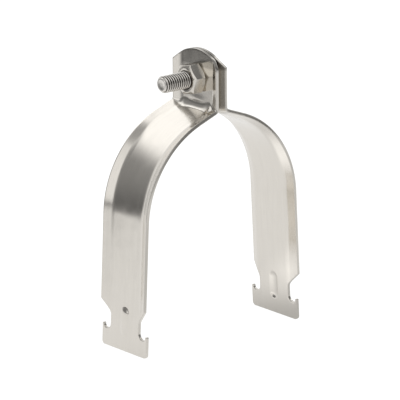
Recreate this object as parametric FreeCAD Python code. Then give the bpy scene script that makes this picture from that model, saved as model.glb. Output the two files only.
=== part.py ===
import FreeCAD, Part
import math
import os

# Strut pipe clamp for a 3 inch pipe. X runs along the bolt, Y along the pipe, Z up from the strut.
# The origin is on the pipe axis, halfway across the strap. Sizes in millimetres.
# Each half is described on the +X side and the other is the same stamping turned about Z.

sheet = 1.5
strap_width = 31.75
flare_width = 5.225
flare_depth = 1.83
crease_radius = 2.0

pipe_diameter = 88.9
draw_in = 3.5
ear_gap = 0.4
run_out_angle = 69.5
leg_splay = 2.8

bend_radius = 1.0
bolt_above_pipe = 16.15
ear_above_bolt = 13.3
ear_crown = 6.7

flare_above_pipe_bottom = 4.55
flare_cut = 6.0
neck_inset = 5.825
neck_radius = 3.5
neck_length = 5.7
hook_tip_width = 1.0
hook_length = 1.9
notch_radius = 2.4
hook_radius = 1.3
foot_length = 8.15
foot_corner_radius = 1.8
tip_radius = 0.3

rib_below_flare_end = 1.55
rib_length = 13.25
rib_width = 5.5
rib_depth = 0.65

gusset_radius = 4.8
gusset_inset = 1.05
gusset_flank = 2.0

thread_diameter = 7.85
bolt_length = 23.9
bolt_end_chamfer = 0.9
bolt_dish_radius = 2.2
bolt_dish_depth = 0.35
head_flats = 13.0
head_height = 5.3
nut_flats = 13.0
nut_height = 6.8
nut_turn = 11.0
nut_countersink = 0.5
hex_chamfer = 30.0
hex_face_share = 0.95
running_clearance = 0.05
hole_clearance = 0.55

half_width = strap_width / 2
half_web = half_width - flare_width
flare_angle = math.atan2(flare_depth, flare_width)
pipe_radius = pipe_diameter / 2
ear_inner = ear_gap / 2
ear_outer = ear_inner + sheet
run_angle = math.radians(run_out_angle)
leg_angle = math.radians(leg_splay)
bolt_height = pipe_radius + bolt_above_pipe
ear_height = bolt_height + ear_above_bolt
ear_corner_height = ear_height - ear_crown
flare_end = pipe_radius - flare_above_pipe_bottom
neck_start = flare_end + flare_cut
neck_half_width = half_width - neck_inset
hook_tip = neck_start + neck_length
notch_bottom = hook_tip + hook_length
foot_end = notch_bottom + foot_length
rib_top = flare_end + rib_below_flare_end
beyond = 60.0
tolerance = 1e-4

arc_centre = FreeCAD.Vector(-draw_in, 0, 0)
run_length = (pipe_radius * math.cos(run_angle) - draw_in - ear_inner) / math.sin(run_angle)
across = FreeCAD.Vector(0, 1, 0)


def direction(angle):
    """Down the strap, where its outer side faces the given angle above the horizontal."""
    return FreeCAD.Vector(math.sin(angle), 0, -math.cos(angle))


def outward(angle):
    """Out of the strap, away from the pipe."""
    return FreeCAD.Vector(math.cos(angle), 0, math.sin(angle))


def on_arc(angle, radius=pipe_radius):
    return arc_centre + outward(angle) * radius


bend_corner = on_arc(run_angle) - direction(run_angle) * run_length


def frame(point, angle):
    """Local x down the strap, y across it and z out of it."""
    along, out = direction(angle), outward(angle)
    matrix = FreeCAD.Matrix(
        along.x, 0, out.x, point.x,
        along.y, 1, out.y, point.y,
        along.z, 0, out.z, point.z,
        0, 0, 0, 1)
    return FreeCAD.Placement(matrix)


def placed(shape, point, angle):
    shape.Placement = frame(point, angle)
    return shape


def rounded_face(corners):
    """A flat face from corners, each a vector and the radius that rounds it."""
    edges = []
    starts = []
    ends = []
    count = len(corners)
    for index, (point, radius) in enumerate(corners):
        back = (corners[index - 1][0] - point).normalize()
        ahead = (corners[(index + 1) % count][0] - point).normalize()
        setback = radius / math.tan(back.getAngle(ahead) / 2)
        start = point + back * setback
        end = point + ahead * setback
        starts.append(start)
        ends.append(end)
        if radius:
            middle_way = (back + ahead).normalize()
            to_centre = radius / math.sin(back.getAngle(ahead) / 2)
            middle = point + middle_way * (to_centre - radius)
            edges.append(Part.Arc(start, middle, end).toShape())
    for index in range(count):
        following = (index + 1) % count
        edges.append(Part.LineSegment(ends[index], starts[following]).toShape())
    return Part.Face(Part.Wire(Part.__sortEdges__(edges)))


def section():
    """The channel section across the strap: a flat web with both edges flared outward."""
    miter = sheet * math.tan(flare_angle / 2)
    edge_in = sheet * math.sin(flare_angle)
    edge_out = sheet * math.cos(flare_angle)
    inner_radius = crease_radius + sheet
    half = [
        (half_web, 0, inner_radius),
        (half_width, flare_depth, 0),
        (half_width - edge_in, flare_depth + edge_out, 0),
        (half_web - miter, sheet, crease_radius)]
    mirrored = [(-y, z, radius) for y, z, radius in reversed(half)]
    return rounded_face([(FreeCAD.Vector(0, y, z), radius) for y, z, radius in half + mirrored])


def strip(point, angle, length):
    """A straight length of the channel, starting at a point and running down the strap."""
    face = placed(section(), point, angle)
    return face.extrude(direction(angle) * length)


def below_miter():
    """Everything on the strap's side of the plane that halves the bend."""
    box = Part.makeBox(beyond, 2 * beyond, 2 * beyond, FreeCAD.Vector(0, -beyond, -beyond))
    return placed(box, bend_corner, run_angle / 2)


def ear_blank():
    top = FreeCAD.Vector(ear_inner, 0, ear_height)
    return strip(top, 0, ear_height - bend_corner.z + strap_width).cut(below_miter())


def run_blank():
    start = bend_corner - direction(run_angle) * strap_width
    return strip(start, run_angle, strap_width + run_length).common(below_miter())


def arc_blank():
    face = placed(section(), on_arc(leg_angle), leg_angle)
    return face.revolve(arc_centre, -across, math.degrees(run_angle - leg_angle))


def in_miter_plane(edge):
    up = direction(run_angle / 2)
    points = [edge.valueAt(edge.FirstParameter), edge.valueAt(edge.LastParameter)]
    return all(abs((point - bend_corner).dot(up)) < tolerance for point in points)


def depth_in_bend(point):
    """How far a point of the miter plane lies outside the web's inner face."""
    return (point - bend_corner).dot(outward(run_angle / 2)) * math.cos(run_angle / 2)


def is_inner(edge):
    middle = edge.valueAt((edge.FirstParameter + edge.LastParameter) / 2)
    flare = max(0, abs(middle.y) - half_web) * math.tan(flare_angle)
    return depth_in_bend(middle) < flare + sheet / 2


def bent(blank):
    """Rounds the bend between strap and ear on both sides of the sheet."""
    inner = [edge for edge in blank.Edges if in_miter_plane(edge) and is_inner(edge)]
    blank = blank.makeFillet(bend_radius + sheet, inner)
    outer = [edge for edge in blank.Edges if in_miter_plane(edge) and not is_inner(edge)]
    return blank.makeFillet(bend_radius, outer)


def leg_outline():
    """Strap edge, slanted end of the flare, neck, hook notch and foot, as seen square to the leg."""
    margin = 1.0
    slope = flare_cut / neck_inset
    tip_inner = half_width - hook_tip_width
    half = [
        (-margin, half_width + margin, 0),
        (flare_end - margin * slope, half_width + margin, 0),
        (neck_start, neck_half_width, neck_radius),
        (notch_bottom, neck_half_width, notch_radius),
        (notch_bottom, tip_inner, hook_radius),
        (hook_tip, tip_inner, tip_radius),
        (hook_tip, half_width, tip_radius),
        (foot_end, half_width, foot_corner_radius)]
    mirrored = [(x, -y, radius) for x, y, radius in reversed(half)]
    face = rounded_face([(FreeCAD.Vector(x, y, 0), radius) for x, y, radius in half + mirrored])
    depth = flare_depth + 2 * sheet
    face.translate(FreeCAD.Vector(0, 0, -sheet))
    return face.extrude(FreeCAD.Vector(0, 0, depth + sheet))


def leg_blank():
    """The flared leg down to its neck and the flat hooked foot below, in the leg's own frame."""
    middle_of_neck = (neck_start + hook_tip) / 2
    flared = section().extrude(FreeCAD.Vector(middle_of_neck, 0, 0))
    corner = FreeCAD.Vector(middle_of_neck, -half_width, 0)
    flat = Part.makeBox(foot_end - middle_of_neck, strap_width, sheet, corner)
    return flared.fuse(flat).common(leg_outline())


def capsule(radius, centre_height):
    """A round-ended bar along the leg."""
    end_round = rib_width / 2
    first = FreeCAD.Vector(rib_top + end_round, 0, centre_height)
    length = rib_length - rib_width
    last = first + FreeCAD.Vector(length, 0, 0)
    bar = Part.makeCylinder(radius, length, first, FreeCAD.Vector(1, 0, 0))
    return bar.fuse([Part.makeSphere(radius, first), Part.makeSphere(radius, last)])


def with_rib(leg):
    """A stiffening rib pressed from the pipe side, so it stands proud on the outer face."""
    radius = (rib_depth ** 2 + (rib_width / 2) ** 2) / (2 * rib_depth)
    centre_height = rib_depth - radius
    corner = FreeCAD.Vector(0, -half_width, sheet / 2)
    outer_side = Part.makeBox(foot_end, strap_width, 2 * sheet, corner)
    proud = capsule(radius + sheet, centre_height).common(outer_side)
    return leg.fuse(proud).cut(capsule(radius, centre_height))


def behind(point, normal):
    """Everything on the inner side of a plane."""
    side = 2 * beyond
    box = Part.makeBox(side, side, side, FreeCAD.Vector(-beyond, -beyond, -side))
    box.Placement = FreeCAD.Placement(
        point, FreeCAD.Rotation(FreeCAD.Vector(0, 0, 1), normal))
    return box


def gusset_form(inset):
    """The pressed gusset: over the web the bend is pushed out to a larger radius, between two
    sloping flanks. It may be set in by the sheet's thickness."""
    half = run_angle / 2
    away = outward(half)
    stand = gusset_radius / math.cos(half)
    corner = FreeCAD.Vector(ear_outer, 0, ear_bend_height())
    axis = corner + away * stand
    radius = gusset_radius + inset
    round_off = Part.makeCylinder(radius, 2 * beyond, axis - across * beyond, across)
    form = behind(axis - FreeCAD.Vector(radius, 0, 0), away).cut(round_off)
    foot = corner + across * (half_web - gusset_inset)
    height = stand - gusset_radius
    flank = (away * gusset_flank + across * height).normalize()
    foot = foot - flank * inset
    mirrored_foot = FreeCAD.Vector(foot.x, -foot.y, foot.z)
    mirrored = FreeCAD.Vector(flank.x, -flank.y, flank.z)
    return form.common(behind(foot, flank)).common(behind(mirrored_foot, mirrored))


def ear_bend_height():
    """Height of the sharp corner between the outer faces of strap and ear."""
    return bend_corner.z + sheet * math.tan(run_angle / 2)


def with_gusset(blank):
    middle = sheet / 2
    reach = FreeCAD.Vector(ear_inner + middle, -beyond, -beyond)
    outside_ear = Part.makeBox(beyond, 2 * beyond, 2 * beyond, reach)
    above_run = Part.makeBox(
        2 * beyond, 2 * beyond, beyond, FreeCAD.Vector(-beyond, -beyond, middle))
    above_run = placed(above_run, bend_corner, run_angle)
    proud = gusset_form(0).common(outside_ear).common(above_run)
    return blank.fuse(proud).cut(gusset_form(sheet))


def ear_trim():
    """What lies above the rounded top of the ear."""
    radius = (half_width ** 2 + ear_crown ** 2) / (2 * ear_crown)
    length = 2 * beyond
    block = Part.makeBox(
        length, 2 * beyond, beyond, FreeCAD.Vector(-beyond, -beyond, ear_corner_height))
    centre = FreeCAD.Vector(-beyond, 0, ear_height - radius)
    return block.cut(Part.makeCylinder(radius, length, centre, FreeCAD.Vector(1, 0, 0)))


def bolt_hole():
    start = FreeCAD.Vector(-beyond, 0, bolt_height)
    radius = thread_diameter / 2 + hole_clearance
    return Part.makeCylinder(radius, 2 * beyond, start, FreeCAD.Vector(1, 0, 0))


def strap_half():
    upper = bent(ear_blank().fuse(run_blank()).removeSplitter())
    upper = with_gusset(upper).cut(ear_trim())
    leg = placed(with_rib(leg_blank()), on_arc(leg_angle), leg_angle)
    half = upper.fuse([arc_blank(), leg]).removeSplitter()
    return half.cut(bolt_hole())


def hexagon_prism(flats, height, both_ends):
    """A hexagon along +X from the origin with its corners turned off, first corner towards -Y."""
    corner_radius = flats / math.sqrt(3)
    face_radius = hex_face_share * flats / 2
    fall = (corner_radius - face_radius) * math.tan(math.radians(hex_chamfer))
    corners = []
    for step in range(6):
        angle = math.radians(60 * step)
        corners.append(FreeCAD.Vector(
            0, -corner_radius * math.cos(angle), corner_radius * math.sin(angle)))
    prism = Part.Face(Part.makePolygon(corners + corners[:1])).extrude(FreeCAD.Vector(height, 0, 0))
    near = face_radius if both_ends else corner_radius
    near_fall = fall if both_ends else 0
    profile = [(0, 0), (0, near), (near_fall, corner_radius), (height - fall, corner_radius),
               (height, face_radius), (height, 0), (0, 0)]
    return prism.common(turned(profile))


def turned(profile):
    """A solid turned about the X axis from (x, radius) pairs, without repeats."""
    points = []
    for x, radius in profile:
        point = FreeCAD.Vector(x, 0, radius)
        if not points or point.distanceToPoint(points[-1]) > tolerance:
            points.append(point)
    face = Part.Face(Part.makePolygon(points))
    return face.revolve(FreeCAD.Vector(0, 0, 0), FreeCAD.Vector(1, 0, 0), 360)


def bolt():
    """Hexagon bolt, its head on the +X ear and its dished end pointing to -X."""
    radius = thread_diameter / 2
    tip = -bolt_length
    shank = turned([
        (0, 0), (0, radius), (tip + bolt_end_chamfer, radius), (tip, radius - bolt_end_chamfer),
        (tip, bolt_dish_radius), (tip + bolt_dish_depth, 0), (0, 0)])
    solid = shank.fuse(hexagon_prism(head_flats, head_height, False)).removeSplitter()
    solid.translate(FreeCAD.Vector(ear_outer, 0, bolt_height))
    return solid


def hex_nut():
    """Hexagon nut seated on the -X ear."""
    bore = thread_diameter / 2 + running_clearance
    mouth = bore + nut_countersink
    hole = turned([
        (0, 0), (0, mouth), (nut_countersink, bore), (nut_height - nut_countersink, bore),
        (nut_height, mouth), (nut_height, 0), (0, 0)])
    solid = hexagon_prism(nut_flats, nut_height, True).cut(hole)
    solid.rotate(FreeCAD.Vector(0, 0, 0), FreeCAD.Vector(1, 0, 0), -nut_turn)
    solid.translate(FreeCAD.Vector(-ear_outer - nut_height, 0, bolt_height))
    return solid


def turned_about_z(shape):
    other = shape.copy()
    other.rotate(FreeCAD.Vector(0, 0, 0), FreeCAD.Vector(0, 0, 1), 180)
    return other


os.makedirs("parts", exist_ok=True)
head_side = strap_half()
pieces = {
    "head_side_half": head_side,
    "nut_side_half": turned_about_z(head_side),
    "bolt": bolt(),
    "hex_nut": hex_nut(),
}
for name, shape in pieces.items():
    print(name, shape.isValid(), len(shape.Solids), "solids", round(shape.Volume, 1), "mm3")
    shape.exportStep("parts/" + name + ".step")
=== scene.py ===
import math

import bmesh
import bpy
import numpy as np
from mathutils import Matrix, Vector
from mathutils.geometry import delaunay_2d_cdt


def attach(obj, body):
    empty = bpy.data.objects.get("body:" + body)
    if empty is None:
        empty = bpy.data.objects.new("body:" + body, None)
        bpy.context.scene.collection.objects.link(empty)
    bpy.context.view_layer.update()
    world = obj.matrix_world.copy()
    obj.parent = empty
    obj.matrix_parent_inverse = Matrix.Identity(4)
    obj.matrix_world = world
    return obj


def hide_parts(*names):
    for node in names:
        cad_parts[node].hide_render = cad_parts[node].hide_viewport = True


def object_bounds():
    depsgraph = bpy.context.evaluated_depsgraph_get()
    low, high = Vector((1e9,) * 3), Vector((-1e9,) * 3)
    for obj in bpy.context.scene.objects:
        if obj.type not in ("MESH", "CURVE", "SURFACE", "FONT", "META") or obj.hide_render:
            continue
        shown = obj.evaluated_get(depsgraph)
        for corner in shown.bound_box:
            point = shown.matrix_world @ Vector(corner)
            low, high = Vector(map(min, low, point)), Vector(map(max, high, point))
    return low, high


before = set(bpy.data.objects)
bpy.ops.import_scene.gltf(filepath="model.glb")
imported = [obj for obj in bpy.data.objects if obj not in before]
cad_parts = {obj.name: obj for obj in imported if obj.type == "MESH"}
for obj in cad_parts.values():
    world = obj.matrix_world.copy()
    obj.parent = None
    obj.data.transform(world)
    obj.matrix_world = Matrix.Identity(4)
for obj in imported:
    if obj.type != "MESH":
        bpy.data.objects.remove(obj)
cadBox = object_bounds()
mm = 0.001      # metres in a millimetre
weldDistance = 1e-7     # metres within which two points of a mesh become one
print("frame loaded")


def linearColor(hexValue):
    # sRGB hex to linear, with full alpha
    channels = [int(hexValue[i:i + 2], 16) / 255 for i in (1, 3, 5)]
    return [c / 12.92 if c <= 0.04045 else ((c + 0.055) / 1.055) ** 2.4 for c in channels] + [1.0]


def addNode(tree, kind, settings=None, links=None):
    # links: input name or index -> a plain value, or (node, output)
    node = tree.nodes.new(kind)
    for name, value in (settings or {}).items():
        setattr(node, name, value)
    for name, source in (links or {}).items():
        if isinstance(source, tuple) and isinstance(source[0], bpy.types.Node):
            tree.links.new(source[0].outputs[source[1]], node.inputs[name])
        else:
            node.inputs[name].default_value = source
    return node


def newMaterial(name):
    material = bpy.data.materials.new(name)
    material.use_nodes = True
    material.node_tree.nodes.clear()
    return material, material.node_tree


def eased(t):
    # 0 to 1 with a smooth start and end
    t = np.clip(t, 0, 1)
    return t * t * (3 - 2 * t)


# the camera's place and lens come from a fit of the strap's own outline
camera = {
    "azimuth": 39.233,      # degrees from +Y towards +X, the way it looks
    "down": 16.132,
    "roll": -0.420,
    "lens": 376.265,        # mm
    "sensor": 36.0,         # mm
    "distance": 1895.974,   # mm to the pipe's axis
    "aimRight": 0.3238,     # mm that the frame's middle lies off the origin
    "aimUp": -2.9002,
    "clipEnd": 50.0,        # metres
}


def placeCamera(c):
    turn, down, roll = (math.radians(c[k]) for k in ("azimuth", "down", "roll"))
    look = Vector((math.sin(turn) * math.cos(down), math.cos(turn) * math.cos(down), -math.sin(down)))
    right = Vector((math.cos(turn), -math.sin(turn), 0))
    up = right.cross(look)
    camRight = math.cos(roll) * right + math.sin(roll) * up
    camUp = -math.sin(roll) * right + math.cos(roll) * up
    place = -c["aimRight"] * camRight - c["aimUp"] * camUp - c["distance"] * look
    matrix = Matrix((camRight, camUp, -look)).transposed().to_4x4()
    matrix.translation = place * mm
    data = bpy.data.cameras.new("camera")
    data.lens = c["lens"]
    data.sensor_width = c["sensor"]
    data.clip_end = c["clipEnd"]
    cameraObject = bpy.data.objects.new("camera", data)
    cameraObject.matrix_world = matrix
    bpy.context.collection.objects.link(cameraObject)
    bpy.context.scene.camera = cameraObject


placeCamera(camera)
print("camera placed")

# one stamping, described on its flat pattern: u runs down the strap from the top of the ear,
# y across it, d through the sheet from the pipe side out. Sizes in mm, as in the CAD.
# Where the strap's two edges differ, a pair gives first the one with y below 0
strap = {
    "sheet": 1.5,
    "halfWidth": 15.875,
    "creaseStart": 9.2,
    "creaseRadius": 9.0,        # on the pipe side
    "earCreaseStart": (9.3, 10.9),      # on the ear one edge turns out softly, the other short
    "earCreaseRadius": (11.0, 3.5),
    "earFlareAngle": 22.5,
    "earBlend": (3.0, 12.0),    # the ear's creases end this far past its bend, and change over this length
    "flareAngle": 19.3,
    "flareOverrun": 1.0,        # the flare's slope runs on into the neck by this
    "webDish": 0.22,            # how far the web has sprung in along its middle
    "dishMargin": 1.2,          # the dish is this much wider than the web on each side
    "dishFades": (14.0, 12.0),  # lengths over which it comes and goes
    "dishEnd": 48.0,            # down the leg
    "pipeRadius": 44.45,
    "drawIn": 3.5,
    "earInner": 0.2,
    "runAngle": 69.5,
    "legAngle": 2.8,
    "bendRadius": 2.5,          # on the pipe side
    "bendTake": 7.0,            # length of ear that shortens as the gusset widens the bend
    "earHeight": 73.9,
    "earCrown": 6.7,
    "earCorner": 0.5,
    "boltHeight": 60.6,
    "holeRadius": 4.475,
    "flareEnd": 39.9,
    "flareCorner": 0.25,
    "neckStart": 45.9,
    "neckHalfWidth": 10.05,
    "neckRadius": 3.5,
    "hookTip": 51.6,
    "hookTipWidth": 1.0,
    "notchBottom": 53.5,
    "notchRadius": 2.4,
    "hookRadius": 1.3,
    "tipRadius": 0.3,
    "footEnd": 61.65,
    "footCorner": 1.8,
    "edgeRound": 0.2,           # what tumbling leaves of the sheared edge
    "ribFirst": 44.2,           # ends of the rib's axis, down the leg
    "ribLast": 51.95,
    "ribRadius": 6.14,
    "ribDepth": 0.65,
    "ribEdge": 0.24,            # softness of the rib's rim
    "gussetSwell": 2.5,         # what the gusset adds to the bend's radius at its middle
    "gussetEnds": 8.6,          # and more towards its ends, of which one fades out into the flare
    "gussetEndSwell": (1.2, 2.0),
    "gussetEndReach": 3.0,
    "gussetHalf": (15.6, 12.2),
    "gussetFlank": (7.5, 3.8),
    "earRise": 0.12,            # the gusset's press leaves the ear standing out a little under the nut
    "earRiseHeight": 49.6,
    "earRiseSize": (2.4, 4.2),  # up the ear and across it
    "outlineStep": 0.7,         # how finely the stamping is divided
    "cornerStep": 0.35,
    "crownPoints": 49,
    "holePoints": 72,
    "borderGap": 0.33,          # inner points keep this far from the borders
    "edgeShare": 0.3,           # where the point between the two ends of an edge's rounding lies
}


def outward(angle):
    return np.array([np.cos(angle), np.zeros_like(angle), np.sin(angle)])


def direction(angle):
    # down the strap, where its outer side faces the angle
    return np.array([np.sin(angle), np.zeros_like(angle), -np.cos(angle)])


def smoothMax(a, b, k):
    return 0.5 * (a + b + np.sqrt((a - b) ** 2 + k * k))


def strapMeasures(s):
    # places along the flat pattern where ear, bend, run, arc and leg meet
    run, leg = math.radians(s["runAngle"]), math.radians(s["legAngle"])
    half = run / 2
    runLength = (s["pipeRadius"] * math.cos(run) - s["drawIn"] - s["earInner"]) / math.sin(run)
    start = np.array([-s["drawIn"] + s["pipeRadius"] * math.cos(run), 0, s["pipeRadius"] * math.sin(run)])
    corner = start - direction(run) * runLength
    tangent = s["bendRadius"] * math.tan(half)
    m = {"run": run, "leg": leg, "half": half, "corner": corner}
    m["earLength"] = s["earHeight"] - corner[2] - tangent
    m["bendEnd"] = m["earLength"] + s["bendRadius"] * run
    m["arcStart"] = m["bendEnd"] + runLength - tangent
    m["legStart"] = m["arcStart"] + s["pipeRadius"] * (run - leg)
    m["earStraight"] = m["earLength"] - s["bendTake"]
    return m


def rise(y, s, legPart, onEar):
    # height and slope of the channel section across the strap
    flare = np.radians(s["flareAngle"] + (s["earFlareAngle"] - s["flareAngle"]) * onEar)
    earStart = np.where(y < 0, *s["earCreaseStart"])
    earRadius = np.where(y < 0, *s["earCreaseRadius"])
    past = np.abs(y) - s["creaseStart"] - (earStart - s["creaseStart"]) * onEar
    radius = s["creaseRadius"] + (earRadius - s["creaseRadius"]) * onEar
    angle = np.arcsin(np.clip(past / radius, 0, np.sin(flare)))
    height = radius * (1 - np.cos(angle))
    height += np.maximum(0, past - radius * np.sin(flare)) * np.tan(flare)
    flat = legPart > s["neckStart"] + s["flareOverrun"]
    return np.where(flat, 0, height), np.where(flat, 0, angle)


def alongStrap(u, delta, rho, s, m):
    # a point of the strap's middle plane at u, delta outside the pipe-side face, with bend radius rho
    half, run, leg = m["half"], m["run"], m["leg"]
    away = np.array([math.cos(half), 0, math.sin(half)])[:, None] / math.cos(half)
    corner = m["corner"][:, None] + delta * away
    centre = corner + rho * away
    tangent = rho * math.tan(half)
    earStop = corner[2] + tangent
    straight = s["earHeight"] - u
    joinZ = s["earHeight"] - m["earStraight"]
    t = (u - m["earStraight"]) / (m["earLength"] - m["earStraight"])
    earZ = np.where(u < m["earStraight"], straight, joinZ + (earStop - joinZ) * t)
    points = np.array([corner[0], np.zeros_like(u), earZ])
    arcCentre = np.array([-s["drawIn"], 0, 0])[:, None]
    radius = s["pipeRadius"] + delta
    phi = np.clip((u - m["earLength"]) / (m["bendEnd"] - m["earLength"]), 0, 1) * run
    points = np.where(u > m["earLength"], centre - rho * outward(phi), points)
    runStart = corner + tangent * direction(run)[:, None]
    runEnd = arcCentre + radius * outward(np.full_like(u, run))
    t = (u - m["bendEnd"]) / (m["arcStart"] - m["bendEnd"])
    points = np.where(u > m["bendEnd"], runStart + (runEnd - runStart) * t, points)
    theta = run - (u - m["arcStart"]) / s["pipeRadius"]
    points = np.where(u > m["arcStart"], arcCentre + radius * outward(np.maximum(theta, leg)), points)
    legTop = arcCentre + radius * outward(np.full_like(u, leg))
    return np.where(u > m["legStart"], legTop + direction(leg)[:, None] * (u - m["legStart"]), points)


def swell(y, s):
    # the gusset: over the web the bend is pushed out to a larger radius, most of all at its two ends
    pairs = ("gussetEndSwell", "gussetHalf", "gussetFlank")
    endSwell, half, flank = (np.where(y < 0, *s[key]) for key in pairs)
    ends = np.exp(-((np.abs(y) - s["gussetEnds"]) / s["gussetEndReach"]) ** 2)
    return (s["gussetSwell"] + endSwell * ends) * eased((half - np.abs(y)) / flank)


def ribLift(u, y, inset, s, m):
    # how far the rib pushes a point out of the leg, inset below its outer face
    along = u - m["legStart"]
    near = np.clip(along, s["ribFirst"], s["ribLast"])
    off = np.hypot(along - near, y)
    radius = s["ribRadius"] + s["sheet"] - inset
    sink = np.sqrt(np.maximum(radius ** 2 - off ** 2, 0.01)) - (radius - s["ribDepth"])
    edge = s["ribEdge"]
    sink = smoothMax(sink, 0, edge) - edge / 2 * np.exp(-np.abs(sink) / edge)
    return outward(np.full_like(u, m["leg"])) * np.maximum(sink, 0)


def pressed(u, y, d, s, m):
    # flat pattern to the finished stamping
    legPart = u - m["legStart"]
    past, length = s["earBlend"]
    onEar = eased((m["bendEnd"] + past - u) / length)
    height, slope = rise(y, s, legPart, onEar)
    up, across = s["earRiseSize"]
    height = height + s["earRise"] * np.exp(
        -((s["earHeight"] - u - s["earRiseHeight"]) / up) ** 2 - (y / across) ** 2)
    coming, going = s["dishFades"]
    dished = np.clip((u - m["bendEnd"]) / coming, 0, 1) * np.clip((s["dishEnd"] - legPart) / going, 0, 1)
    dish = -s["webDish"] * np.clip(1 - (y / (s["creaseStart"] + s["dishMargin"])) ** 2, 0, 1)
    delta = height + d * np.cos(slope) + dish * eased(dished)
    points = alongStrap(u, delta, s["bendRadius"] + swell(y, s) - d, s, m)
    points[1] = y - d * np.sin(slope) * np.sign(y)
    points += ribLift(u, y, s["sheet"] - d, s, m)
    return points.T


def roundedPath(corners, step, cornerStep):
    # closed outline from (u, y, radius) corners
    path = []
    count = len(corners)
    for i, (u, y, radius) in enumerate(corners):
        p = Vector((u, y))
        if radius == 0:
            path.append(p)
            continue
        back = (Vector(corners[i - 1][:2]) - p).normalized()
        ahead = (Vector(corners[(i + 1) % count][:2]) - p).normalized()
        half = back.angle(ahead) / 2
        middle = (back + ahead).normalized()
        centre = p + middle * radius / math.sin(half)
        first = p + back * radius / math.tan(half) - centre
        last = p + ahead * radius / math.tan(half) - centre
        sweep = first.angle_signed(last)
        parts = max(3, int(abs(sweep) * radius / cornerStep) + 2)
        for k in range(parts + 1):
            turn = -sweep * k / parts
            c, sn = math.cos(turn), math.sin(turn)
            path.append(centre + Vector((c * first.x - sn * first.y, sn * first.x + c * first.y)))
    filled = []
    for i, p in enumerate(path):
        q = path[(i + 1) % len(path)]
        parts = max(1, int((q - p).length / step + 0.5))
        filled += [p.lerp(q, k / parts) for k in range(parts)]
    return np.array([tuple(p) for p in filled])


def strapOutline(s, m):
    crownRadius = (s["halfWidth"] ** 2 + s["earCrown"] ** 2) / (2 * s["earCrown"])
    leg = m["legStart"]
    tip = s["halfWidth"] - s["hookTipWidth"]
    half = [
        (leg + s["flareEnd"], s["halfWidth"], s["flareCorner"]),
        (leg + s["neckStart"], s["neckHalfWidth"], s["neckRadius"]),
        (leg + s["notchBottom"], s["neckHalfWidth"], s["notchRadius"]),
        (leg + s["notchBottom"], tip, s["hookRadius"]),
        (leg + s["hookTip"], tip, s["tipRadius"]),
        (leg + s["hookTip"], s["halfWidth"], s["tipRadius"]),
        (leg + s["footEnd"], s["halfWidth"], s["footCorner"])]
    crown = []
    for i, y in enumerate(np.linspace(-s["halfWidth"], s["halfWidth"], s["crownPoints"])):
        u = crownRadius - math.sqrt(crownRadius ** 2 - y * y)
        crown.append((u, float(y), s["earCorner"] if i in (0, s["crownPoints"] - 1) else 0))
    mirrored = [(u, -y, radius) for u, y, radius in reversed(half)]
    return roundedPath(crown + half + mirrored, s["outlineStep"], s["cornerStep"])


def inwardNormals(ring):
    ahead = np.roll(ring, -1, axis=0) - ring
    behind = ring - np.roll(ring, 1, axis=0)
    tangents = ahead / np.linalg.norm(ahead, axis=1)[:, None]
    tangents += behind / np.linalg.norm(behind, axis=1)[:, None]
    tangents /= np.linalg.norm(tangents, axis=1)[:, None]
    normals = np.stack([-tangents[:, 1], tangents[:, 0]], axis=1)
    area = 0.5 * np.sum(ring[:, 0] * np.roll(ring[:, 1], -1) - np.roll(ring[:, 0], -1) * ring[:, 1])
    return normals if area > 0 else -normals


def insidePolygon(points, ring):
    inside = np.zeros(len(points), bool)
    for (u0, y0), (u1, y1) in zip(ring, np.roll(ring, -1, axis=0)):
        crosses = (y0 > points[:, 1]) != (y1 > points[:, 1])
        at = u0 + (points[:, 1] - y0) / ((y1 - y0) if y1 != y0 else 1e-9) * (u1 - u0)
        inside ^= crosses & (points[:, 0] < at)
    return inside


def nearestTo(points, ring):
    # a batch at a time, to spare memory
    batch = 2000
    found = [np.min(np.linalg.norm(points[first:first + batch, None] - ring[None], axis=2), axis=1)
             for first in range(0, len(points), batch)]
    return np.concatenate(found)


def stations(s, m):
    # rows of points down the strap, closest in the bend and on the rib
    leg = m["legStart"]
    spans = [       # each ends here, and is divided into steps of this length
        (m["earLength"] - 6, 0.9), (m["earLength"], 0.3), (m["bendEnd"], 0.2), (m["bendEnd"] + 9, 0.3),
        (leg, 0.8), (leg + 40, 1.0), (leg + 56, 0.4), (leg + s["footEnd"], 0.8)]
    u, first = [], 0
    for last, step in spans:
        u += list(np.linspace(first, last, max(2, round((last - first) / step) + 1))[:-1])
        first = last
    return np.array(u)


def columns():
    # and across it, closest where it turns out
    y = list(np.arange(0, 9.0, 0.4)) + list(np.arange(9.1, 12.6, 0.22)) + list(np.arange(12.8, 16, 0.5))
    return np.array([-v for v in reversed(y[1:])] + y)


def flatMesh(s, m, borders):
    # triangles over the flat pattern, and which of their points each border point became
    u, y = np.meshgrid(stations(s, m), columns(), indexing="ij")
    grid = np.stack([u.ravel(), y.ravel()], axis=1)
    grid = grid[insidePolygon(grid, borders[0]) & ~insidePolygon(grid, borders[1])]
    clear = np.ones(len(grid), bool)
    for border in borders:
        dense = np.concatenate([border, (border + np.roll(border, 1, axis=0)) / 2])
        clear &= nearestTo(grid, dense) > s["borderGap"]
    given = np.concatenate(borders + [grid[clear]])
    edges, first = [], 0
    for border in borders:
        count = len(border)
        edges += [(first + i, first + (i + 1) % count) for i in range(count)]
        first += count
    result = delaunay_2d_cdt([Vector(p) for p in given], edges, [], 1, 1e-6)
    points = np.array([tuple(p) for p in result[0]])
    faces = np.array([f for f in result[2] if len(f) == 3])
    middle = points[faces].mean(axis=1)
    faces = faces[insidePolygon(middle, borders[0]) & ~insidePolygon(middle, borders[1])]
    origin = {source: index for index, sources in enumerate(result[3]) for source in sources}
    return points, faces, origin


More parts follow.
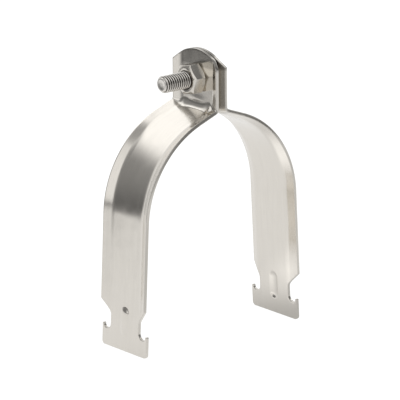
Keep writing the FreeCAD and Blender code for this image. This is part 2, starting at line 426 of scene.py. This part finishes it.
def buildStamping(s):
    # both faces of the sheet, joined by the rounded edges of its outline and its hole
    m = strapMeasures(s)
    sheet, inset, near = s["sheet"], s["edgeRound"], s["edgeShare"]
    outline = strapOutline(s, m)
    angles = np.linspace(0, 2 * math.pi, s["holePoints"] + 1)[:-1]
    hole = np.array([(s["earHeight"] - s["boltHeight"] + s["holeRadius"] * math.cos(a),
                      s["holeRadius"] * math.sin(a)) for a in angles])
    rims = [(outline, inwardNormals(outline)), (hole, -inwardNormals(hole))]
    borders = [ring + normal * inset for ring, normal in rims]
    flat, faces, origin = flatMesh(s, m, borders)
    count = len(flat)
    vertices = [pressed(flat[:, 0], flat[:, 1], np.full(count, d), s, m) for d in (sheet, 0.0)]
    polygons = [tuple(f) for f in faces] + [tuple(f[::-1] + count) for f in faces]
    edge = [
        (near, sheet - inset * near), (0, sheet - inset), (0, sheet / 2), (0, inset), (near, inset * near)]
    total = 2 * count
    offset = 0
    for ring, normal in rims:
        size = len(ring)
        outer = [origin[offset + i] for i in range(size)]
        levels = [outer]
        for share, d in edge:
            at = ring + normal * inset * share
            vertices.append(pressed(at[:, 0], at[:, 1], np.full(size, d), s, m))
            levels.append(list(range(total, total + size)))
            total += size
        levels.append([i + count for i in outer])
        for upper, lower in zip(levels, levels[1:]):
            for i in range(size):
                j = (i + 1) % size
                polygons.append((upper[i], upper[j], lower[j], lower[i]))
        offset += size
    return np.concatenate(vertices), polygons


def makeMesh(name, vertices, polygons):
    mesh = bpy.data.meshes.new(name)
    points = [tuple(float(c) * mm for c in v) for v in vertices]
    mesh.from_pydata(points, [], [tuple(int(i) for i in p) for p in polygons])
    shape = bmesh.new()
    shape.from_mesh(mesh)
    bmesh.ops.remove_doubles(shape, verts=shape.verts, dist=weldDistance)
    bmesh.ops.recalc_face_normals(shape, faces=shape.faces)
    shape.to_mesh(mesh)
    shape.free()
    mesh.shade_smooth()
    return mesh


def settled(name, piece):
    # the modifiers' result as a plain mesh on a new object at the origin
    depsgraph = bpy.context.evaluated_depsgraph_get()
    mesh = bpy.data.meshes.new_from_object(piece.evaluated_get(depsgraph), depsgraph=depsgraph)
    mesh.name = name
    bpy.data.objects.remove(piece)
    result = bpy.data.objects.new(name, mesh)
    bpy.context.collection.objects.link(result)
    return result


def addPiece(name, mesh):
    # large faces keep their own direction beside the small rounded edges
    piece = bpy.data.objects.new(name, mesh)
    bpy.context.collection.objects.link(piece)
    weighted = piece.modifiers.new("weighted", "WEIGHTED_NORMAL")
    weighted.mode = "FACE_AREA"
    weighted.weight = 60
    bpy.context.view_layer.update()
    return settled(name, piece)


stampingPoints, stampingFaces = buildStamping(strap)
turnedPoints = stampingPoints * [-1, -1, 1]     # the same stamping half round about Z
headHalf = addPiece("strapHeadSide", makeMesh("strapHeadSide", stampingPoints, stampingFaces))
nutHalf = addPiece("strapNutSide", makeMesh("strapNutSide", turnedPoints, stampingFaces))
print("stampings", len(stampingPoints), "points", len(stampingFaces), "faces")

# M8 bolt and nut, in mm
fastener = {
    "axisHeight": 60.6,
    "seat": 1.7,            # outer faces of the ears, each side of x = 0
    "flats": 13.0,
    "faceShare": 0.88,      # flat face of the hexagon over its width
    "chamfer": 30.0,
    "cornerRound": 0.25,
    "edgeRound": 0.07,
    "hexStep": 0.55,        # how finely the hexagon's outline is divided
    "hexCornerStep": 0.35,
    "headHeight": 5.3,
    "nutHeight": 6.8,
    "nutTurn": 11.0,        # degrees that the nut's near corner stands above the level
    "bore": 3.975,
    "mouth": 4.475,
    "threadRadius": 3.925,
    "threadDepth": 0.74,
    "pitch": 1.25,
    "crest": 0.42,          # where the crest starts, in parts of the pitch from the groove's middle
    "root": 0.10,           # and where the root ends
    "length": 23.9,
    "headOverlap": 1.0,     # the thread's closed end hides this deep in the head
    "endChamfer": 0.9,
    "dishRadius": 2.75,
    "dishDepth": 0.16,
    "dishFloor": 0.35,      # share of its radius that is flat
    "endTilt": -0.03,       # the cut end leans a little, and the lean fades over the first stretch
    "tiltReach": 1.2,
    "rowsPerTurn": 12,
    "capRows": 6,
    "threadColumns": 57,
    "backSlope": 0.08,      # length over radius of the cone that closes the thread in the head
    "threadWeld": 0.002,    # points of the wound sheet closer than this become one
}


def hexagonBody(f, height, nearBevel, bore):
    # rings of a hexagon along +X from 0: face, chamfer cone, flats, chamfer cone, face.
    # One corner points towards -Y
    reach = f["flats"] / math.sqrt(3)
    corners = [(-reach * math.cos(turn), reach * math.sin(turn), f["cornerRound"])
               for turn in (math.radians(60 * k) for k in range(6))]
    outline = roundedPath(corners, f["hexStep"], f["hexCornerStep"])
    radius = np.linalg.norm(outline, axis=1)
    unit = outline / radius[:, None]
    face = f["faceShare"] * f["flats"] / 2
    slope = math.tan(math.radians(f["chamfer"]))
    fall = (radius - face) * slope
    e = f["edgeRound"]
    middle = [(f["mouth"] - bore, bore), (e, f["mouth"] - e), (0, f["mouth"] + e)] if bore else [(0, 0.01)]
    bevel = [
        (0, face - e * 2), (e * slope, face + e),
        (fall - e * 2 * slope, radius - e * 2), (fall + e * 2, radius)]
    square = [(0, radius - e), (e, radius)]
    profile = middle + (bevel if nearBevel else square)
    profile += [(height - x, r) for x, r in reversed(middle + bevel)]
    rings = [np.stack([np.broadcast_to(x, radius.shape), unit[:, 0] * r, unit[:, 1] * r], axis=1)
             for x, r in profile]
    size, last = len(outline), (len(rings) - 1) * len(outline)
    joins = [(k * size, (k + 1) * size) for k in range(len(rings) - 1)]
    if bore:
        joins.append((last, 0))
    faces = [(a + i, a + (i + 1) % size, b + (i + 1) % size, b + i) for a, b in joins for i in range(size)]
    if not bore:
        faces += [tuple(range(size)), tuple(last + i for i in range(size))]
    return np.concatenate(rings), faces


def threadTree(material, f):
    # one sheet of quads that winds along the helix, closed by a dished, chamfered end
    tree = bpy.data.node_groups.new("rolledThread", "GeometryNodeTree")
    face = tree.interface
    face.new_socket("Geometry", in_out="OUTPUT", socket_type="NodeSocketGeometry")
    sizes = ("Pitch", "Radius", "Depth", "Length", "End Chamfer", "Dish Radius", "Dish Depth", "End Tilt")
    for label in sizes:
        face.new_socket(label, in_out="INPUT", socket_type="NodeSocketFloat")
    for label in ("Rows Per Turn", "Rows", "Columns"):
        face.new_socket(label, in_out="INPUT", socket_type="NodeSocketInt")
    given = addNode(tree, "NodeGroupInput")
    calculate = "ShaderNodeMath"
    operations = ("ADD", "SUBTRACT", "MULTIPLY", "DIVIDE")
    add, subtract, multiply, divide = ({"operation": name} for name in operations)
    least, most = {"operation": "MINIMUM"}, {"operation": "MAXIMUM"}
    grid = addNode(tree, "GeometryNodeMeshGrid", None, {
        "Size X": 1.0, "Size Y": 1.0, "Vertices X": (given, "Columns"), "Vertices Y": (given, "Rows")})
    where = addNode(tree, "ShaderNodeSeparateXYZ", None, {0: (addNode(tree, "GeometryNodeInputPosition"), 0)})
    # x of the grid goes once round, y along the bolt
    turnPart = addNode(tree, calculate, add, {0: (where, "X"), 1: 0.5})
    angle = addNode(tree, calculate, multiply, {0: (turnPart, 0), 1: math.tau})
    rowStep = addNode(tree, calculate, divide, {0: (given, "Pitch"), 1: (given, "Rows Per Turn")})
    steps = addNode(tree, calculate, subtract, {0: (given, "Rows"), 1: 1.0})
    span = addNode(tree, calculate, multiply, {0: (rowStep, 0), 1: (steps, 0)})
    capRows = addNode(tree, calculate, multiply, {0: (rowStep, 0), 1: float(f["capRows"])})
    part = addNode(tree, calculate, add, {0: (where, "Y"), 1: 0.5})
    row = addNode(tree, calculate, multiply, {0: (part, 0), 1: (span, 0)})      # 0 at the very end
    capAndTurn = addNode(tree, calculate, add, {0: (capRows, 0), 1: (given, "Pitch")})
    fromEnd = addNode(tree, calculate, subtract, {0: (row, 0), 1: (capAndTurn, 0)})
    wound = addNode(tree, calculate, multiply, {0: (turnPart, 0), 1: (given, "Pitch")})
    free = addNode(tree, calculate, add, {0: (fromEnd, 0), 1: (wound, 0)})
    fromTip = addNode(tree, calculate, most, {0: (free, 0), 1: 0.0})
    along = addNode(tree, calculate, least, {0: (fromTip, 0), 1: (given, "Length")})
    turns = addNode(tree, calculate, divide, {0: (fromEnd, 0), 1: (given, "Pitch")})
    phase = addNode(tree, calculate, {"operation": "FRACT"}, {0: (turns, 0)})
    ridge = addNode(tree, calculate, {"operation": "PINGPONG"}, {0: (phase, 0), 1: 0.5})
    groove = addNode(tree, "ShaderNodeMapRange", None, {
        0: (ridge, 0), "From Min": f["crest"], "From Max": f["root"], "To Min": 0.0, "To Max": 1.0})
    cut = addNode(tree, calculate, multiply, {0: (groove, 0), 1: (given, "Depth")})
    profile = addNode(tree, calculate, subtract, {0: (given, "Radius"), 1: (cut, 0)})
    endRadius = addNode(tree, calculate, subtract, {0: (given, "Radius"), 1: (given, "End Chamfer")})
    cone = addNode(tree, calculate, add, {0: (endRadius, 0), 1: (along, 0)})
    capPart = addNode(tree, calculate, divide, {0: (row, 0), 1: (capRows, 0)})
    disc = addNode(tree, calculate, multiply, {0: (capPart, 0), 1: (endRadius, 0)})
    left = addNode(tree, calculate, subtract, {0: (span, 0), 1: (row, 0)})
    backDisc = addNode(tree, calculate, divide, {0: (left, 0), 1: f["backSlope"]})
    inner = addNode(tree, calculate, least, {0: (profile, 0), 1: (cone, 0)})
    ends = addNode(tree, calculate, least, {0: (disc, 0), 1: (backDisc, 0)})
    radius = addNode(tree, calculate, least, {0: (inner, 0), 1: (ends, 0)})
    # the end is a shallow bowl, sheared a little out of square
    bowlPart = addNode(tree, calculate, divide, {0: (radius, 0), 1: (given, "Dish Radius")})
    bowl = addNode(tree, "ShaderNodeMapRange", {"interpolation_type": "SMOOTHSTEP"}, {
        0: (bowlPart, 0), "From Min": f["dishFloor"], "From Max": 1.0, "To Min": 1.0, "To Max": 0.0})
    isCap = addNode(tree, calculate, {"operation": "LESS_THAN"}, {0: (row, 0), 1: (capRows, 0)})
    dish = addNode(tree, calculate, multiply, {0: (bowl, 0), 1: (given, "Dish Depth")})
    dishHere = addNode(tree, calculate, multiply, {0: (dish, 0), 1: (isCap, 0)})
    cosine = addNode(tree, calculate, {"operation": "COSINE"}, {0: (angle, 0)})
    sine = addNode(tree, calculate, {"operation": "SINE"}, {0: (angle, 0)})
    y = addNode(tree, calculate, multiply, {0: (radius, 0), 1: (cosine, 0)})
    z = addNode(tree, calculate, multiply, {0: (radius, 0), 1: (sine, 0)})
    nearTip = addNode(tree, "ShaderNodeMapRange", None, {
        0: (along, 0), "From Min": 0.0, "From Max": f["tiltReach"],
        "To Min": (given, "End Tilt"), "To Max": 0.0})
    lean = addNode(tree, calculate, multiply, {0: (z, 0), 1: (nearTip, 0)})
    level = addNode(tree, calculate, add, {0: (along, 0), 1: (dishHere, 0)})
    x = addNode(tree, calculate, add, {0: (level, 0), 1: (lean, 0)})
    place = addNode(tree, "ShaderNodeCombineXYZ", None, {"X": (x, 0), "Y": (y, 0), "Z": (z, 0)})
    scaled = addNode(tree, "ShaderNodeVectorMath", {"operation": "SCALE"}, {0: (place, 0), "Scale": mm})
    moved = addNode(tree, "GeometryNodeSetPosition", None, {
        "Geometry": (grid, "Mesh"), "Position": (scaled, 0)})
    merged = addNode(tree, "GeometryNodeMergeByDistance", None, {
        "Geometry": (moved, 0), "Distance": f["threadWeld"] * mm})
    smooth = addNode(tree, "GeometryNodeSetShadeSmooth", None, {"Geometry": (merged, 0)})
    real = addNode(tree, "GeometryNodeRealizeInstances", None, {"Geometry": (smooth, 0)})
    finish = addNode(tree, "GeometryNodeSetMaterial", None, {"Geometry": (real, 0), "Material": material})
    addNode(tree, "NodeGroupOutput", None, {0: (finish, 0)})
    return tree


def nodesPiece(name, tree, values):
    # a mesh grown by a node tree whose inputs are set by their identifiers
    mesh = bpy.data.meshes.new(name + "Seed")
    piece = bpy.data.objects.new(name + "Seed", mesh)
    bpy.context.collection.objects.link(piece)
    modifier = piece.modifiers.new("nodes", "NODES")
    modifier.node_group = tree
    for item in tree.interface.items_tree:
        if item.item_type == "SOCKET" and item.in_out == "INPUT" and item.name in values:
            modifier[item.identifier] = values[item.name]
    bpy.context.view_layer.update()
    return settled(name, piece)


# bright rolled stainless: a soft, slightly warm mirror, drawn out along the rolled lines
strapLook = {
    "lineScale": (60.0, 2600.0, 60.0),      # per metre: rolled lines about 0.4 mm apart, run along the strip
    "lineDepth": 0.0012,        # mm, as are all sizes from here on
    "wave": 9.0,
    "waveDepth": 0.012,
    "cloud": 5.0,               # size of the patches that are a little rougher or smoother
    "roughness": (0.14, 0.22),
    "colorLow": "#D6D1C9",
    "colorHigh": "#E2DED7",
    # painted shade near the bolt's axis: in the thread's grooves, the nut's bore and the strap's hole
    "shadeColor": "#48443F",
    "shadeRadii": (4.2, 4.6),     # painted shade within the first, none from the second, about the bolt's axis
    "shadeSpan": (-1.5, 1.5),     # along the axis
    "shadeFade": 0.4,
    # painted shade on the ears' caps
    "capShadeFrom": 4.8,            # above the bolt's axis
    "capShadeFade": 1.6,
    "capShadeSide": (8.0, 11.0),    # the painted shade ends between these, towards the ear's far edge
    "capShadeTone": 0.66,
    # painted shade on the ears' inner faces, in the gap between the ears
    "gapShadeTone": 0.83,
    "gapShadeReach": 0.15,
    "gapReach": (3.0, 5.0),     # faces beyond these aren't in the gap between the ears
    "taper": 0.0,               # slope of the flats
}
# the bolt's thread is rolled brighter, with painted shade in its grooves
boltLook = dict(
    strapLook, lineScale=(900.0, 900.0, 900.0), lineDepth=0.002, wave=3.0, roughness=(0.16, 0.26),
    colorLow="#DCD8D2", colorHigh="#E8E5E0", shadeRadii=(3.38, 3.74), shadeSpan=(-21.4, -0.5),
    capShadeTone=1.0, gapShadeTone=1.0)
# the nut is turned, its flats a little duller and tapered, with painted shade in its bore
nutLook = dict(
    boltLook, colorLow="#D2CDC5", colorHigh="#DFDBD3", shadeRadii=(4.3, 4.7), shadeSpan=(-9.0, -1.0), taper=0.22)


def paintShade(tree, place, steelOwnColor, look):
    # the steel's own colour, darkened by painted shade: in grooves and bores, on the ears' caps and on the
    # ears' inner faces
    fromAxis = addNode(tree, "ShaderNodeVectorMath", {"operation": "SUBTRACT"}, {
        0: (place, "Object"), 1: (0, 0, fastener["axisHeight"] * mm)})
    sides = addNode(tree, "ShaderNodeSeparateXYZ", None, {0: (fromAxis, 0)})
    # painted shade in the thread's grooves and round the bores: nearer to the bolt's axis than the shade's
    # radii, between two places along it
    across = addNode(tree, "ShaderNodeCombineXYZ", None, {"Y": (sides, "Y"), "Z": (sides, "Z")})
    distance = addNode(tree, "ShaderNodeVectorMath", {"operation": "LENGTH"}, {0: (across, 0)})
    outside = addNode(tree, "ShaderNodeMapRange", {"interpolation_type": "SMOOTHSTEP"}, {
        0: (distance, "Value"), "From Min": look["shadeRadii"][0] * mm, "From Max": look["shadeRadii"][1] * mm})
    fromMiddle = addNode(tree, "ShaderNodeMath", {"operation": "SUBTRACT"}, {
        0: (sides, "X"), 1: (look["shadeSpan"][0] + look["shadeSpan"][1]) / 2 * mm})
    apart = addNode(tree, "ShaderNodeMath", {"operation": "ABSOLUTE"}, {0: (fromMiddle, 0)})
    reach = (look["shadeSpan"][1] - look["shadeSpan"][0]) / 2
    beyond = addNode(tree, "ShaderNodeMapRange", None, {
        0: (apart, 0), "From Min": reach * mm, "From Max": (reach + look["shadeFade"]) * mm})
    awayFromShade = addNode(tree, "ShaderNodeMath", {"operation": "MAXIMUM"}, {0: (outside, 0), 1: (beyond, 0)})
    nearAxisShaded = addNode(tree, "ShaderNodeMix", {"data_type": "RGBA"}, {
        "Factor": (awayFromShade, 0), 6: linearColor(look["shadeColor"]), 7: (steelOwnColor, 2)})
    # painted shade darkens the ears' caps above a height over the bolt's axis, towards the ear's far edge
    capShadeFull = look["capShadeFrom"] + look["capShadeFade"]
    low = addNode(tree, "ShaderNodeMapRange", {"interpolation_type": "SMOOTHSTEP"}, {
        0: (sides, "Z"), "From Min": look["capShadeFrom"] * mm, "From Max": capShadeFull * mm,
        "To Min": 1.0, "To Max": look["capShadeTone"]})
    far = addNode(tree, "ShaderNodeMapRange", None, {
        0: (sides, "Y"), "From Min": look["capShadeSide"][0] * mm, "From Max": look["capShadeSide"][1] * mm})
    clear = addNode(tree, "ShaderNodeMath", {"operation": "MAXIMUM"}, {0: (low, 0), 1: (far, 0)})
    # painted shade on the ears' inner faces, which look towards x = 0 from close by
    facing = addNode(tree, "ShaderNodeSeparateXYZ", None, {0: (place, "Normal")})
    turned = addNode(tree, "ShaderNodeMath", {"operation": "MULTIPLY"}, {0: (sides, "X"), 1: (facing, "X")})
    inner = addNode(tree, "ShaderNodeMapRange", None, {
        0: (turned, 0), "From Min": -look["gapShadeReach"] * mm, "From Max": 0.0,
        "To Min": look["gapShadeTone"], "To Max": 1.0})
    gap = addNode(tree, "ShaderNodeMath", {"operation": "ABSOLUTE"}, {0: (sides, "X")})
    outOfGap = addNode(tree, "ShaderNodeMapRange", None, {
        0: (gap, 0), "From Min": look["gapReach"][0] * mm, "From Max": look["gapReach"][1] * mm})
    gapShade = addNode(tree, "ShaderNodeMath", {"operation": "MAXIMUM"}, {0: (inner, 0), 1: (outOfGap, 0)})
    share = addNode(tree, "ShaderNodeMath", {"operation": "MULTIPLY"}, {0: (clear, 0), 1: (gapShade, 0)})
    return addNode(tree, "ShaderNodeVectorMath", {"operation": "SCALE"}, {0: (nearAxisShaded, 2), "Scale": (share, 0)})


def steelMaterial(name, look):
    material, tree = newMaterial(name)
    place = addNode(tree, "ShaderNodeTexCoord")
    lines = addNode(tree, "ShaderNodeMapping", None, {
        "Vector": (place, "Object"), "Scale": look["lineScale"]})
    rolled = addNode(tree, "ShaderNodeTexNoise", None, {
        "Vector": (lines, 0), "Scale": 1.0, "Detail": 3.0, "Roughness": 0.6})
    waves = addNode(tree, "ShaderNodeTexNoise", None, {
        "Vector": (place, "Object"), "Scale": 1 / (look["wave"] * mm), "Detail": 1.0})
    cloud = addNode(tree, "ShaderNodeTexNoise", None, {
        "Vector": (place, "Object"), "Scale": 1 / (look["cloud"] * mm), "Detail": 4.0})
    rough = addNode(tree, "ShaderNodeMapRange", None, {
        0: (cloud, 0), "From Min": 0.3, "From Max": 0.7,
        "To Min": look["roughness"][0], "To Max": look["roughness"][1]})
    steelOwnColor = addNode(tree, "ShaderNodeMix", {"data_type": "RGBA"}, {
        "Factor": (rolled, 0), 6: linearColor(look["colorLow"]), 7: linearColor(look["colorHigh"])})
    # the steel's own colour with painted shade laid on it
    tone = paintShade(tree, place, steelOwnColor, look)
    first = addNode(tree, "ShaderNodeBump", None, {
        "Strength": 1.0, "Distance": look["waveDepth"] * mm, "Height": (waves, 0)})
    second = addNode(tree, "ShaderNodeBump", None, {
        "Strength": 1.0, "Distance": look["lineDepth"] * mm, "Height": (rolled, 0), "Normal": (first, 0)})
    # forging leaves a nut's flats a little higher towards its seat
    along = addNode(tree, "ShaderNodeSeparateXYZ", None, {0: (place, "Object")})
    third = addNode(tree, "ShaderNodeBump", None, {
        "Strength": 1.0, "Distance": look["taper"], "Height": (along, "X"), "Normal": (second, 0)})
    shader = addNode(tree, "ShaderNodeBsdfPrincipled", None, {
        "Base Color": (tone, 0), "Metallic": 1.0, "Roughness": (rough, 0), "Normal": (third, 0)})
    addNode(tree, "ShaderNodeOutputMaterial", None, {"Surface": (shader, 0)})
    return material


strapSteel = steelMaterial("pressedStainless", strapLook)
boltSteel = steelMaterial("rolledStainless", boltLook)
nutSteel = steelMaterial("turnedStainless", nutLook)
print("steels mixed")


def joinPieces(name, pieces):
    shape = bmesh.new()
    for piece in pieces:
        shape.from_mesh(piece.data)
        bpy.data.objects.remove(piece)
    mesh = bpy.data.meshes.new(name)
    bmesh.ops.recalc_face_normals(shape, faces=shape.faces)
    shape.to_mesh(mesh)
    shape.free()
    mesh.shade_smooth()
    return mesh


def buildBolt(f):
    threadLength = f["length"] + f["headOverlap"]
    threadRows = int((threadLength / f["pitch"] + 1) * f["rowsPerTurn"]) + f["capRows"] + 1
    thread = nodesPiece("thread", threadTree(boltSteel, f), {
        "Pitch": f["pitch"], "Radius": f["threadRadius"], "Depth": f["threadDepth"], "Length": threadLength,
        "End Chamfer": f["endChamfer"], "Dish Radius": f["dishRadius"], "Dish Depth": f["dishDepth"],
        "End Tilt": f["endTilt"], "Rows Per Turn": f["rowsPerTurn"], "Rows": threadRows,
        "Columns": f["threadColumns"]})
    tip = f["seat"] - f["length"]
    thread.data.transform(Matrix.Translation(Vector((tip, 0, f["axisHeight"])) * mm))
    headPoints, headFaces = hexagonBody(f, f["headHeight"], False, None)
    headPoints = headPoints + [f["seat"], 0, f["axisHeight"]]
    head = addPiece("hexHead", makeMesh("hexHead", headPoints, headFaces))
    return addPiece("hexBolt", joinPieces("hexBolt", [thread, head]))


def buildNut(f):
    points, faces = hexagonBody(f, f["nutHeight"], True, f["bore"])
    turn = -math.radians(f["nutTurn"])
    rotation = np.array([
        [1, 0, 0], [0, math.cos(turn), -math.sin(turn)], [0, math.sin(turn), math.cos(turn)]])
    points = points @ rotation.T + [-f["seat"] - f["nutHeight"], 0, f["axisHeight"]]
    return addPiece("hexNut", makeMesh("hexNut", points, faces))


bolt = buildBolt(fastener)
nut = buildNut(fastener)
print("bolt and nut", len(bolt.data.vertices), len(nut.data.vertices), "points")

for piece, finish, node, slot in (
        (headHalf, strapSteel, "head_side_half", "strap_steel"),
        (nutHalf, strapSteel, "nut_side_half", "strap_steel"),
        (bolt, boltSteel, "bolt", "bolt_steel"),
        (nut, nutSteel, "hex_nut", "nut_steel")):
    piece.data.materials.clear()
    piece.data.materials.append(finish)
    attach(piece, node)
    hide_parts(node)

# white table, ending to the left of the clamp, and a dome that only the metal mirrors:
# softboxes at the left, at the right and overhead, a darker room elsewhere
studio = {
    "tableEdge": -0.275,        # metres, its edge along Y, which draws the dark cap on the near ear
    "tableSize": 4.0,
    # painted shade in the glow that the metal mirrors: the table is dimmer close in front of the clamp
    "tableLit": 0.80,           # as the metal mirrors it: behind the clamp, close in front, far in front
    "tableDim": 0.50,
    "tableFront": 0.62,
    "tableFade": (-0.14, 0.02),
    "tableFarFade": (-0.20, -0.36),
    "tableSide": (-0.26, -0.05, 0.92),      # it falls off towards its edge
    "tableSpots": [             # x, y, reach, and share at the middle
        (0.052, -0.018, 0.105, 0.62),       # shade about the right foot
        (-0.004, 0.013, 0.048, 1.65),       # light between the feet
        (0.34, -0.30, 0.22, 0.25),          # dark card in front
    ],
    "tableSeen": 0.95,
    "tableColor": "#707070",    # what it scatters, apart from its own glow
    "domeRadius": 4.0,
    "domeSegments": 180,
    "domeRings": 120,
    "base": 0.42,
    "worldLevel": 1.0,
    # azimuth from +Y towards -X, height, soft edge in degrees, and radiance
    "patches": [
        ((-60, 22), (-30, 28), (8, 8), 0.95),       # pale wall behind
        ((-40, 28), (28, 78), (8, 6), 1.40),        # softbox overhead
        ((66, 110), (-2, 56), (7, 2), 1.05),        # softbox at the left
        ((100, 158), (30, 58), (8, 5), 1.2),        # and its brighter end
        ((-106, -66), (30, 62), (6, 7), 1.55),      # softbox at the right
        ((-170, -122), (8, 80), (8, 6), 0.20),      # dark corner beside it
        ((-168, -112), (-7, 8), (6, 3), 0.15),      # dark line between wall and floor there
    ],
    "lowPatches": [
        ((66, 112), (-60, -5.5), (13, 1.5), 0.92),  # pale floor beyond the table's edge at the left
        ((62, 112), (-5.5, -1.5), (5, 1.5), 0.15),  # dark line between the two
    ],
    # a flag between the softboxes: its weight over the azimuth, its radiance over the height, its top edge
    "flagAzimuth": [
        (-180, 0), (14, 0), (18, 0.15), (27, 0.62), (33, 0.9), (38, 1), (58, 1), (70, 0), (180, 0)],
    "flagHeight": [
        (-90, 0.22), (-12, 0.24), (-4, 0.15), (0, 0.16), (10, 0.23),
        (20, 0.28), (40, 0.30), (48, 0.5), (54, 0.9), (90, 1.2)],
    "flagTop": (50, 62),
}


def tableMaterial(st, floorHeight):
    # matt white table: plain white to the eye, uneven where the metal mirrors it
    material, tree = newMaterial("whiteTable")
    light = addNode(tree, "ShaderNodeLightPath")
    place = addNode(tree, "ShaderNodeTexCoord")
    sides = addNode(tree, "ShaderNodeSeparateXYZ", None, {0: (place, "Object")})
    smooth = {"interpolation_type": "SMOOTHSTEP"}
    behind = addNode(tree, "ShaderNodeMapRange", smooth, {
        0: (sides, "Y"), "From Min": st["tableFade"][0], "From Max": st["tableFade"][1],
        "To Min": st["tableDim"], "To Max": st["tableLit"]})
    front = addNode(tree, "ShaderNodeMapRange", smooth, {
        0: (sides, "Y"), "From Min": st["tableFarFade"][0], "From Max": st["tableFarFade"][1],
        "To Min": 0.0, "To Max": st["tableFront"] - st["tableDim"]})
    sideways = addNode(tree, "ShaderNodeMapRange", smooth, {
        0: (sides, "X"), "From Min": st["tableSide"][0], "From Max": st["tableSide"][1],
        "To Min": st["tableSide"][2], "To Max": 1.0})
    bothWays = addNode(tree, "ShaderNodeMath", {"operation": "ADD"}, {0: (behind, 0), 1: (front, 0)})
    multiply = {"operation": "MULTIPLY"}
    mirrored = addNode(tree, "ShaderNodeMath", multiply, {0: (bothWays, 0), 1: (sideways, 0)})
    for x, y, reach, share in st["tableSpots"]:
        away = addNode(tree, "ShaderNodeVectorMath", {"operation": "DISTANCE"}, {
            0: (place, "Object"), 1: (x, y, floorHeight)})
        spot = addNode(tree, "ShaderNodeMapRange", smooth, {
            0: (away, "Value"), "From Min": 0.0, "From Max": reach, "To Min": share, "To Max": 1.0})
        mirrored = addNode(tree, "ShaderNodeMath", multiply, {0: (mirrored, 0), 1: (spot, 0)})
    glossy = addNode(tree, "ShaderNodeMath", {"operation": "MAXIMUM"}, {
        0: (light, "Is Glossy Ray"), 1: (light, "Is Transmission Ray")})
    glow = addNode(tree, "ShaderNodeMath", multiply, {0: (glossy, 0), 1: (mirrored, 0)})
    seen = addNode(tree, "ShaderNodeMath", {"operation": "MULTIPLY_ADD"}, {
        0: (light, "Is Camera Ray"), 1: st["tableSeen"], 2: (glow, 0)})
    emission = addNode(tree, "ShaderNodeEmission", None, {
        "Color": linearColor("#FFFFFF"), "Strength": (seen, 0)})
    diffuse = addNode(tree, "ShaderNodeBsdfDiffuse", None, {"Color": linearColor(st["tableColor"])})
    both = addNode(tree, "ShaderNodeAddShader", None, {0: (emission, 0), 1: (diffuse, 0)})
    # the underside lets light through, so that the clamp also shows from below
    face = addNode(tree, "ShaderNodeNewGeometry")
    nothing = addNode(tree, "ShaderNodeBsdfTransparent")
    topOnly = addNode(tree, "ShaderNodeMixShader", None, {
        0: (face, "Backfacing"), 1: (both, 0), 2: (nothing, 0)})
    addNode(tree, "ShaderNodeOutputMaterial", None, {"Surface": (topOnly, 0)})
    return material


def buildTable(st, floorHeight):
    far, edge = st["tableSize"], st["tableEdge"]
    mesh = bpy.data.meshes.new("table")
    mesh.from_pydata([(edge, -far, floorHeight), (far, -far, floorHeight), (far, far, floorHeight),
                      (edge, far, floorHeight)], [], [(0, 1, 2, 3)])
    table = bpy.data.objects.new("table", mesh)
    bpy.context.collection.objects.link(table)
    mesh.materials.append(tableMaterial(st, floorHeight))
    return table


def softStep(value, low, high):
    return eased((value - low) / (high - low))


def softBand(value, limits, edge):
    low, high = limits
    return softStep(value, low - edge, low + edge) * (1 - softStep(value, high - edge, high + edge))


def painted(level, azimuth, height, patches):
    for azimuths, heights, edges, radiance in patches:
        weight = softBand(azimuth, azimuths, edges[0]) * softBand(height, heights, edges[1])
        level = level + (radiance - level) * weight
    return level


def buildDome(st):
    bpy.ops.mesh.primitive_uv_sphere_add(
        segments=st["domeSegments"], ring_count=st["domeRings"], radius=st["domeRadius"])
    dome = bpy.context.object
    dome.name = "studioDome"
    dome.data.flip_normals()
    at = np.array([v.co[:] for v in dome.data.vertices]) / st["domeRadius"]
    azimuth = np.degrees(np.arctan2(-at[:, 0], at[:, 1]))
    height = np.degrees(np.arcsin(np.clip(at[:, 2], -1, 1)))
    level = painted(np.full(len(at), st["base"]), azimuth, height, st["patches"])
    weight = np.interp(azimuth, *zip(*st["flagAzimuth"])) * (1 - softStep(height, *st["flagTop"]))
    level += (np.interp(height, *zip(*st["flagHeight"])) - level) * weight
    level = painted(level, azimuth, height, st["lowPatches"])
    attribute = dome.data.attributes.new("level", "FLOAT", "POINT")
    attribute.data.foreach_set("value", level.astype(np.float32))
    # painted walls and softbox cloth: nothing but their own light, which the steel mirrors
    material, tree = newMaterial("studioWalls")
    read = addNode(tree, "ShaderNodeAttribute", {"attribute_name": "level"})
    emission = addNode(tree, "ShaderNodeEmission", None, {"Strength": (read, "Fac")})
    addNode(tree, "ShaderNodeOutputMaterial", None, {"Surface": (emission, 0)})
    dome.data.materials.append(material)
    dome.visible_camera = dome.visible_diffuse = dome.visible_shadow = dome.visible_transmission = False
    return dome


def lightWorld(st):
    world = bpy.context.scene.world or bpy.data.worlds.new("world")
    bpy.context.scene.world = world
    world.use_nodes = True
    tree = world.node_tree
    tree.nodes.clear()
    background = addNode(tree, "ShaderNodeBackground", None, {
        "Color": linearColor("#FFFFFF"), "Strength": st["worldLevel"]})
    addNode(tree, "ShaderNodeOutputWorld", None, {"Surface": (background, 0)})


table = buildTable(studio, cadBox[0].z)
dome = buildDome(studio)
lightWorld(studio)
bpy.context.scene.view_settings.view_transform = "Standard"
print("studio lit")
